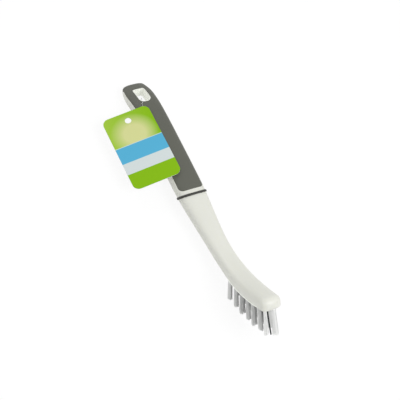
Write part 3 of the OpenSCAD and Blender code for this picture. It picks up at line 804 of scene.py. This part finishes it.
def build_ring(material):
    """The band in its groove, with a rounded crown that stands proud and laps over both edges."""
    start, stop, sunk, foot = RING_START + BAND_GAP, RING_STOP - BAND_GAP, RING_DEPTH - BAND_GAP, 3 * BAND_GAP
    profile = [(start, sunk), (start, foot)]
    for f in np.radians(np.linspace(180, 0, 15)):
        crown = CROWN_H * max(math.sin(f), 0) ** CROWN_POWER - BAND_GAP
        profile.append((RING_AT + BAND_W / 2 * math.cos(f), -crown))
    profile += [(stop, foot), (stop, sunk)]
    phi = np.linspace(0, 360, BAND_POINTS, endpoint=False)
    rows = [skin_point(np.full(BAND_POINTS, s), phi, d) for s, d in profile]
    faces = band_faces(len(rows), BAND_POINTS)
    return add_mesh("collar_ring", np.concatenate(rows), faces, material, "root", 60.0)


# A moulded edge along both lower corners of the head, from one angle below the middle to another
LIP_START, LIP_STOP, LIP_FROM, LIP_TO, LIP_R = 231.0, 291.0, 34.0, 41.0, 0.55
LIP_SUNK, LIP_TAPER, LIP_THINNEST = 0.2, 8, 0.15


def build_lips(material):
    """The edge on either side, sunk a little into the skin and tapered towards both ends."""
    s = np.linspace(LIP_START, LIP_STOP, 90)
    below = np.linspace(LIP_FROM, LIP_TO, len(s))
    for name, angle in (("left", 180 + below), ("right", 360 - below)):
        line = skin_point(s, angle, LIP_R * LIP_SUNK)
        taper = np.minimum((s - LIP_START) / LIP_TAPER, (LIP_STOP - s) / LIP_TAPER)
        reach = LIP_R * np.clip(taper, LIP_THINNEST, 1)
        points, faces = tube(line, reach, 10)
        add_mesh(f"head_edge_{name}", points, faces, material, "root", 60.0)


# Tufts. A tuft is known by its number from the heel and its side, -1 for left and 1 for right
FILAMENTS, FILAMENT_D, FILAMENT_SIDES, FILAMENT_RINGS = 72, 0.34, 6, 5
PACK_EDGE, ROOT_IN, TIP_TAPER, BEND, GOLDEN_ANGLE = 0.55, 1.2, 0.8, 0.4, 137.508
# Strands are cut and bent in clumps, and each a little by itself
CLUMPS, CLUMP_CUT, CLUMP_LEAN = 5, 1.1, 0.2
STRAND_CUT, STRAND_LEAN, CUT_SPARE = 0.25, 0.1, 0.35
# Fitted to the photograph: how far each pair fans out, how both rows and single tufts are moved, and how much
# longer than in the part's source they are
FANS, FAN_LEAST = (1.08, 1.1, 1.42, 1.12, 1.36, 1.3, 1.42), 0.9
ROW_SHIFT, ROW_BACK = -0.7, 0.4
USUAL_EXTRA = 0.8
EXTRA_LEN = {(1, 1): 0, (1, -1): 1.1, (3, -1): 0.4, (6, -1): 1.6, (7, -1): 1.9, (6, 1): 1.6, (7, 1): 3.7}
NUDGES = {(1, -1): (-0.9, 0.0), (2, -1): (-0.7, -0.1), (3, -1): (-0.6, -0.4), (4, -1): (-0.6, -0.4),
          (5, -1): (-0.9, -0.8), (6, -1): (-0.5, -0.4), (7, -1): (0.3, 0.3), (7, 1): (0.0, 0.3)}
# The camera's right-hand direction in the brush's own frame
SIGHT_RIGHT = np.array([0.4219, 0.8838, 0.2024])
# The dark strip of the last left tuft, a painted shadow in the gap between the toe tufts: strands from
# STRAY_FROM on, drawn together, fanned out and made near-black
STRAY_FROM, STRAY_AT, STRAY_FAN, STRAY_DRAW, STRAY_CUT = 0.32, 0.97, 1.6, 0.1, 1.0
# How light the strands are, with painted shade: the left tufts by number, their painted shade towards
# the right flank, the lightest strands with their own small painted fall, and the painted shade on the
# inner strands of the right row
SHADES, SHADE_SPREAD = (0.95, 0.93, 0.84, 0.92, 0.9, 0.92), 0.03
FLANK_PAINTED_SHADE, FLANK_FROM, FLANK_TO = 0.36, 0.05, 0.9
LIGHT_LOW, LIGHT_HIGH, LIGHT_FALL, LIGHT_FROM = 0.92, 1.0, 0.05, 0.3
INNER_PAINTED_SHADE, INNER_STEP, INNER_SPREAD, INNER_TO = 0.3, 0.04, 0.12, 0.3


def tuft_frame(k, side):
    """The mouth of a tuft's hole, and the directions out of it, across it and along the head."""
    s = HEEL_S + (k - 1) * TUFT_PITCH
    y = side * (ROW_HEEL + (ROW_TOE - ROW_HEEL) * (k - 1) / (TUFTS - 1))
    a = math.radians(float(slope_at(s)))
    mouth = place(s - ROW_BACK, y + ROW_SHIFT, -float(thick_at(s)) / 2)
    return mouth, np.array([math.sin(a), 0, -math.cos(a)]), np.array([math.cos(a), 0, math.sin(a)])


def painted_strand_shade(k, side, right, outward, rng):
    """Painted shade of a strand: a left tuft darker on its right flank, a right one on its inner side."""
    if side > 0 and k < TUFTS - 1 and outward < INNER_TO:
        return INNER_PAINTED_SHADE - INNER_STEP * k + rng.uniform(0, INNER_SPREAD)
    if k == TUFTS or side > 0:
        return rng.uniform(LIGHT_LOW, LIGHT_HIGH) - LIGHT_FALL * float(ease(right, LIGHT_FROM, FLANK_TO))
    fall = FLANK_PAINTED_SHADE * float(ease(right, FLANK_FROM, FLANK_TO))
    return SHADES[k - 1] + rng.uniform(-SHADE_SPREAD, SHADE_SPREAD) - fall


def build_tuft(k, side, material):
    """Round filaments packed at the root, fanned a little, cut and bent in clumps."""
    rng = random.Random(100 * k + side)
    mouth, out, ahead = tuft_frame(k, side)
    across = np.array([0, 1, 0])
    sideways = ahead * SIGHT_RIGHT.dot(ahead) + across * SIGHT_RIGHT[1]
    sideways /= np.linalg.norm(sideways)
    reach = TUFT_HOLE_D / 2 - FILAMENT_D * PACK_EDGE
    at_root, at_tip = NUDGES.get((k, side), (0, 0))
    longer = EXTRA_LEN.get((k, side), USUAL_EXTRA)
    clumps = [(abs(rng.gauss(0, CLUMP_CUT)), rng.gauss(0, CLUMP_LEAN), rng.gauss(0, CLUMP_LEAN))
              for _ in range(CLUMPS)]
    points, faces, shades = [], [], []
    for i in range(FILAMENTS):
        r = reach * math.sqrt((i + 0.5) / FILAMENTS)
        turn = math.radians(i * GOLDEN_ANGLE)
        root = ahead * r * math.cos(turn) + across * r * math.sin(turn)
        right = float(root.dot(sideways)) / reach
        shade = painted_strand_shade(k, side, right, side * root[1] / reach, rng)
        cut, lean_u, lean_v = clumps[int(turn / (2 * math.pi) * CLUMPS) % CLUMPS]
        fan = FANS[k - 1] * rng.uniform(FAN_LEAST, 1.0) - 1
        tip = (root * fan + ahead * (lean_u + rng.gauss(0, STRAND_LEAN))
               + across * (lean_v + rng.gauss(0, STRAND_LEAN)))
        # Near-black strands of the strip: painted shadow of the gap between the toe tufts
        if (k, side) == (TUFTS, -1) and right > STRAY_FROM:
            root = root + sideways * reach * (STRAY_AT - right) * STRAY_DRAW
            tip, shade, cut = sideways * STRAY_FAN, 0.0, STRAY_CUT
        root = root + sideways * at_root
        tip = tip + sideways * (at_tip - at_root)
        length = tuft_len(k) + longer + CUT_SPARE - cut - abs(rng.gauss(0, STRAND_CUT))
        for ring in range(FILAMENT_RINGS):
            t = ring / (FILAMENT_RINGS - 1)
            bend = tip * t * (1 - BEND + BEND * t)
            middle = mouth + out * (-ROOT_IN + (length + ROOT_IN) * t) + root + bend
            radius = FILAMENT_D / 2 * (1.0 if ring < FILAMENT_RINGS - 1 else TIP_TAPER)
            for j in range(FILAMENT_SIDES):
                a = 2 * math.pi * j / FILAMENT_SIDES
                points.append(middle + radius * (ahead * math.cos(a) + across * math.sin(a)))
        start = i * FILAMENT_RINGS * FILAMENT_SIDES
        faces += grid_faces(FILAMENT_RINGS, FILAMENT_SIDES, start)
        for end in (start, start + (FILAMENT_RINGS - 1) * FILAMENT_SIDES):
            faces += cap(end, FILAMENT_SIDES)
        shades += [shade] * (FILAMENT_RINGS * FILAMENT_SIDES)
    name = "left" if side < 0 else "right"
    piece = add_mesh(f"bristles_{name}_{k}", np.array(points), faces, material, "root", 50.0)
    layer = piece.data.attributes.new("strand", "FLOAT", "POINT")
    layer.data.foreach_set("value", shades)
    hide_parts(f"tuft_{name}_{k}")


# Swing tag and its tie
def over_skin(s, y, lift):
    return place(s, y, float(skin_h(s, y)) + lift)


def under_skin(s, y, lift):
    return place(s, y, float(skin_h(s, y, -1)) - lift)


roll = math.radians(TAG_ROLL)
tag_rest = over_skin(TAG_REST_S, TAG_REST_Y, TAG_GAP)
tie_down = -(TIE_SIDE + TAG_REST_Y) / math.cos(roll)
TIE_POINT = tag_rest + np.array([TIE_AT - tag_rest[0], tie_down * math.cos(roll), tie_down * math.sin(roll)])
TAG_AXES = (np.array(Matrix.Rotation(roll, 3, "X"))
            @ np.array(Matrix.Rotation(math.radians(-TAG_TURN), 3, "Z")))


def on_tag(p):
    """Points of the tag's own plane, from the place where it is tied, in the brush's frame."""
    return np.asarray(p, float) @ TAG_AXES.T + TIE_POINT


def tag_outline(grow, steps):
    """The tag's outline, counter-clockwise, in its own plane, with some steps to each corner."""
    r = TAG_CORNER
    x0, y0 = -TIE_IN, TIE_EDGE - TAG_W
    corners = ((x0 + TAG_LEN - r, y0 + r, 270), (x0 + TAG_LEN - r, y0 + TAG_W - r, 0),
               (x0 + r, y0 + TAG_W - r, 90), (x0 + r, y0 + r, 180))
    points = []
    for x, y, start in corners:
        for a in np.radians(np.linspace(start, start + 90, steps)):
            points.append((x + (r + grow) * math.cos(a), y + (r + grow) * math.sin(a)))
    return np.array(points)


def ply_mesh(name, low, high, material, node):
    """One ply as a plate with a punched hole and softly broken edges."""
    soft, corner_steps, n_in = 0.05, 14, 56
    n_out = 4 * corner_steps
    hole_at = np.array([TAG_HOLE_IN - TIE_IN, TIE_EDGE - TAG_W / 2])
    turn = np.radians(np.linspace(0, 360, n_in, endpoint=False))
    round_hole = np.stack([np.cos(turn), np.sin(turn)], 1)
    levels = [(low, -soft, soft), (low + soft, 0, 0), (high - soft, 0, 0), (high, -soft, soft)]
    points, faces = [], []
    for z, out_grow, in_grow in levels:
        points += [(*p, z) for p in tag_outline(out_grow, corner_steps)]
        points += [(*p, z) for p in hole_at + (TAG_HOLE_D / 2 + in_grow) * round_hole]
    stride = n_out + n_in
    for i in range(len(levels) - 1):
        a, b = i * stride, (i + 1) * stride
        faces += [(a + j, a + (j + 1) % n_out, b + (j + 1) % n_out, b + j) for j in range(n_out)]
        faces += [(b + n_out + j, b + n_out + (j + 1) % n_in, a + n_out + (j + 1) % n_in, a + n_out + j)
                  for j in range(n_in)]
    piece = add_mesh(name, on_tag(points), faces, material, "tag", 50.0)
    work = bmesh.new()
    work.from_mesh(piece.data)
    work.verts.ensure_lookup_table()
    open_edges = [e for e in work.edges if e.is_boundary]
    bottom = [e for e in open_edges if e.verts[0].index < stride]
    top = [e for e in open_edges if e.verts[0].index >= stride]
    for edges in (bottom, top):
        bmesh.ops.triangle_fill(work, use_beauty=True, edges=edges)
    bmesh.ops.recalc_face_normals(work, faces=work.faces)
    work.to_mesh(piece.data)
    work.free()
    flat = np.array(points)
    layer = piece.data.uv_layers.new(name="print")
    for loop in piece.data.loops:
        x, y, _ = flat[loop.vertex_index]
        layer.data[loop.index].uv = ((y - (TIE_EDGE - TAG_W)) / UV_MM, (x + TIE_IN) / UV_MM)
    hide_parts(node)


def spline(points, steps):
    """A smooth line through the points."""
    line = []
    last = len(points) - 1
    for i in range(last):
        p, a, b, c = (points[max(i - 1, 0)], points[i], points[i + 1], points[min(i + 2, last)])
        for t in np.arange(steps) / steps:
            line.append(0.5 * (2 * a + (b - p) * t + (2 * p - 5 * a + 4 * b - c) * t ** 2
                               + (3 * a - p - 3 * b + c) * t ** 3))
    return np.array(line + [points[last]])


def tube(line, radius, sides=12):
    """Points and faces of a round tube along a line, with one radius or one for each point."""
    tangents = np.gradient(line, axis=0)
    tangents /= np.linalg.norm(tangents, axis=1)[:, None]
    normal = np.cross(tangents[0], [0, 1, 0.2])
    points = []
    for p, t, reach in zip(line, tangents, np.broadcast_to(radius, len(line))):
        normal = normal - t * normal.dot(t)
        normal /= np.linalg.norm(normal)
        other = np.cross(t, normal)
        for a in np.linspace(0, 2 * math.pi, sides, endpoint=False):
            points.append(p + reach * (normal * math.cos(a) + other * math.sin(a)))
    faces = grid_faces(len(line), sides) + cap(0, sides) + cap((len(line) - 1) * sides, sides)
    return points, faces


def turned_piece(profile, sides=32):
    """Points and faces of a turned piece standing on the tag's plane at the tie."""
    points = [on_tag((r * math.cos(a), r * math.sin(a), z)) for r, z in profile
              for a in np.linspace(0, 2 * math.pi, sides, endpoint=False)]
    faces = grid_faces(len(profile), sides) + cap(0, sides) + cap((len(profile) - 1) * sides, sides)
    return points, faces


def beside(s, phi, lift):
    """A point outside the skin, at an angle round the section from the right-hand side."""
    c, n = math.cos(math.radians(phi)), math.sin(math.radians(phi))
    r = rim_reach(c, n, float(lower_power(s)) if n < 0 else SECTION_POWER)
    half = float(half_t(s)) + (float(belly_at(s)) if n < 0 else 0)
    return place(s, (float(half_w(s)) + lift) * c * r, (half + lift) * n * r)


def build_tie(material):
    """The nylon loop, its bead under the tag, and the stem and button that hold the tag.

    The loop leaves the bead over the grip, goes down through the hole and comes back round the left flank.
    """
    bead_d, bead_h, bead_gap, button_d = 2.6, 1.0, 0.2, 4.0
    lift, toe = TIE_D / 2 + 0.2, HOLE_FROM_END + HOLE_LEN
    drop, spread = bead_gap + bead_h / 2, (TIE_D + 0.3) / 2
    over = [(38.8, -9.2, lift + 0.3), (36.9, -7.3, lift), (34.4, -6.1, lift + 0.1),
            (toe + 0.9, -4.8, lift + 0.1), (toe - 2.1, -3.8, 0.5)]
    back = [(toe + 0.4, 244), (toe + 1.4, 226), (toe + 2.4, 208), (toe + 3.6, 186), (toe + 5.4, 160)]
    route = [TIE_POINT + [-0.4, spread, -drop], *(over_skin(*step) for step in over),
             place(toe - 2.9, -3.5, 0), under_skin(toe - 2.2, -3.9, 0.5),
             *(beside(s, phi, lift) for s, phi in back),
             over_skin(37.6, -13.6, lift + 0.3), TIE_POINT + [-0.4, -spread, -drop]]
    points, faces = tube(spline(np.array(route), 10), TIE_D / 2)
    r, top, foot = bead_d / 2, -bead_gap, -bead_gap - bead_h
    edge, stem, button, seat = 0.12, spread, button_d / 2, PLY_T / 2 + 0.02
    bead_and_button = [
        (r - 3 * edge, foot), (r - edge, foot + edge / 2), (r, foot + 3 * edge), (r, top - 3 * edge),
        (r - edge, top - edge / 2), (r - 3 * edge, top), (stem, top), (stem, seat),
        (button - edge, seat), (button, PLY_T / 2 + 0.08), (button - edge, PLY_T - 0.06)]
    more, more_faces = turned_piece(bead_and_button)
    start = len(points)
    faces += [tuple(start + i for i in f) for f in more_faces]
    piece = add_mesh("tag_loop", np.array(points + more), faces, material, "root", 60.0)
    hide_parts("tag_tie")


add_camera()
add_world(level=0.59)
LAMP_AIM = (0.08, 0, 0.02)
add_lamp("key", (0.76, 0.28, 1.06), LAMP_AIM, size=0.7, power=6.6)
add_lamp("fill", (-0.9, -0.3, 0.7), LAMP_AIM, size=0.9, power=2.4)
add_floor()

shell_look = shell_material()
# The liner takes the lighter, glowing plastic: painted light on the hole's walls
liner_look = painted_light_plastic("liner_painted_light", LINER_PAINTED_LIGHT)
grip_look = grip_material()
edge = Edge()
shell = build_shell(shell_look, edge)
grip = build_grip(grip_look, edge)
build_rims(liner_look, grip_look)
ring = build_ring(ring_material())
# The head's edges take the lighter, glowing plastic: a painted highlight along its lower corners
build_lips(painted_light_plastic("edge_painted_highlight", EDGE_PAINTED_HIGHLIGHT))
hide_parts("handle_body")
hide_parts("grip")
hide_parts("ring_band")

bristle_look = bristle_material()
for number in range(1, TUFTS + 1):
    for row in (-1, 1):
        build_tuft(number, row, bristle_look)

ply_mesh("tag_face", PLY_T, 2 * PLY_T, print_material(), "tag_front")
ply_mesh("tag_reverse", 0.0, PLY_T, card_material(), "tag_back")
build_tie(tie_material())

anchor_look = anchor_material()
for name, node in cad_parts.items():
    if name.startswith("anchor"):
        node.data.materials.clear()
        node.data.materials.append(anchor_look)

bpy.context.scene.view_settings.view_transform = "Standard"
